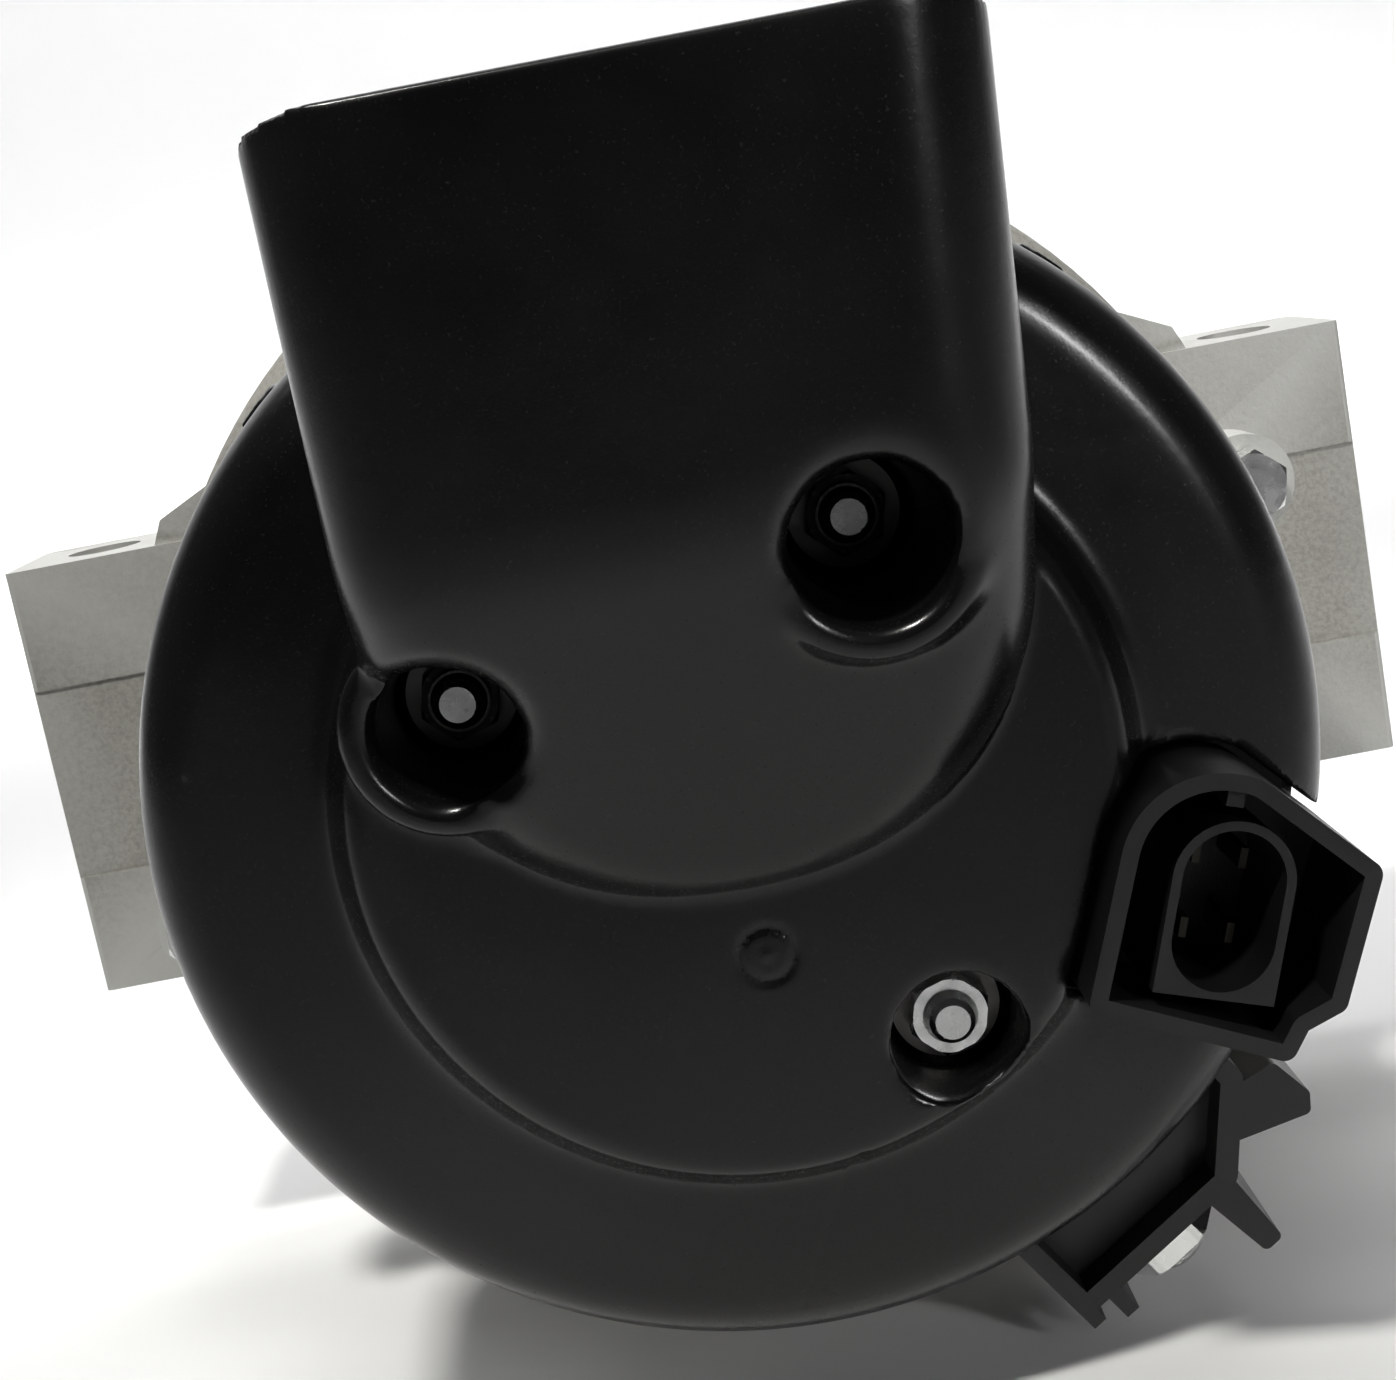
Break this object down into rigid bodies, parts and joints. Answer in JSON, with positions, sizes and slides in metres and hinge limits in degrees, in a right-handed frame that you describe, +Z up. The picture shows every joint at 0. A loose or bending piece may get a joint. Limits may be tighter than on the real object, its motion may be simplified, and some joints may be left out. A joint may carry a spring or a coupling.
{
  "type": "alternator",
  "caption": "Vehicle alternator with ribbed pulley, vented brackets, side mounting lugs and a plastic rear cover with an upright cooling-air duct.",
  "frame": {"origin": "on the shaft's axis, midway between the two mounting lug bores", "axes": "+Y along the shaft towards the pulley, +Z up along the cooling duct and along the lug bores, +X from one lug to the other"},
  "size_m": [0.1868, 0.1936, 0.151],
  "materials": {
    "cover_plastic": "black moulded nylon, satin to gloss",
    "plug_plastic": "black moulded nylon, matte",
    "inner_plastic": "dark moulded resin",
    "zinc_steel": "zinc plated",
    "black_steel": "black phosphate",
    "bare_steel": "ground",
    "iron": "forged, oiled",
    "core_steel": "stacked sheet, varnished",
    "cast_aluminium": "as cast",
    "sheet_aluminium": "rolled",
    "copper_wire": "enamelled",
    "copper_strip": "bare",
    "tin_brass": "tinned",
    "carbon": "pressed carbon",
    "spring_steel": "drawn wire",
    "pulley_steel": "black phosphate"
  },
  "bodies": {
    "housing": {"rear_cover": "cover_plastic", "cover_studs": "zinc_steel", "upper_cover_nuts": "black_steel", "lower_cover_nut": "zinc_steel", "cover_washers": "black_steel", "regulator_body": "plug_plastic", "plug_pins": "tin_brass", "regulator_heat_plate": "sheet_aluminium", "brush_holder": "inner_plastic", "brush_holder_screw": "zinc_steel", "brush_spring_inner": "spring_steel", "brush_spring_outer": "spring_steel", "negative_heat_sink": "sheet_aluminium", "positive_heat_sink": "sheet_aluminium", "negative_diodes": "tin_brass", "positive_diodes": "tin_brass", "rectifier_insulator": "inner_plastic", "rectifier_screws": "zinc_steel", "output_strap": "copper_strip", "terminal_block": "plug_plastic", "battery_stud": "zinc_steel", "battery_stud_washer": "zinc_steel", "battery_stud_nut": "zinc_steel", "rear_bracket": "cast_aluminium", "front_bracket": "cast_aluminium", "through_bolts": "zinc_steel", "stator_core": "core_steel", "stator_winding": "copper_wire", "stator_leads": "copper_wire", "front_bearing_outer_race": "bare_steel", "front_bearing_shields": "zinc_steel", "rear_bearing_outer_race": "bare_steel", "rear_bearing_shields": "zinc_steel", "bearing_retainer": "zinc_steel", "retainer_screws": "zinc_steel"},
    "rotor": {"shaft": "bare_steel", "claw_pole_rear": "iron", "claw_pole_front": "iron", "coil_bobbin": "inner_plastic", "field_coil": "copper_wire", "fan_rear": "bare_steel", "fan_front": "bare_steel", "slip_ring_hub": "inner_plastic", "slip_rings": "copper_strip", "rotor_spacer": "bare_steel", "pulley_spacer": "bare_steel", "front_bearing_inner_race": "bare_steel", "rear_bearing_inner_race": "bare_steel", "pulley": "pulley_steel", "pulley_nut": "zinc_steel"},
    "front_ball_set": {"front_bearing_balls": "bare_steel", "front_bearing_cage": "bare_steel"},
    "rear_ball_set": {"rear_bearing_balls": "bare_steel", "rear_bearing_cage": "bare_steel"},
    "inner_brush": {"brush_inner": "carbon"},
    "outer_brush": {"brush_outer": "carbon"}
  },
  "joints": [
    {"name": "rotor_spin", "type": "hinge", "parent": "housing", "child": "rotor", "pos_m": [0, 0, 0], "axis": [0, 1, 0], "continuous": true},
    {"name": "front_ball_spin", "type": "hinge", "parent": "housing", "child": "front_ball_set", "pos_m": [0, 0.024, 0], "axis": [0, 1, 0], "continuous": true},
    {"name": "rear_ball_spin", "type": "hinge", "parent": "housing", "child": "rear_ball_set", "pos_m": [0, -0.069, 0], "axis": [0, 1, 0], "continuous": true},
    {"name": "inner_brush_slide", "type": "slide", "parent": "housing", "child": "inner_brush", "axis": [0, 0, 1], "range_m": [-0.006, 0], "stiffness_N_per_m": 300, "springref_m": 0.01, "deforming": ["brush_spring_inner"]},
    {"name": "outer_brush_slide", "type": "slide", "parent": "housing", "child": "outer_brush", "axis": [0, 0, 1], "range_m": [-0.006, 0], "stiffness_N_per_m": 300, "springref_m": 0.01, "deforming": ["brush_spring_outer"]}
  ],
  "couplings": [
    {"joint": "front_ball_spin", "follows": "rotor_spin", "ratio": 0.3634},
    {"joint": "rear_ball_spin", "follows": "rotor_spin", "ratio": 0.3808}
  ]
}
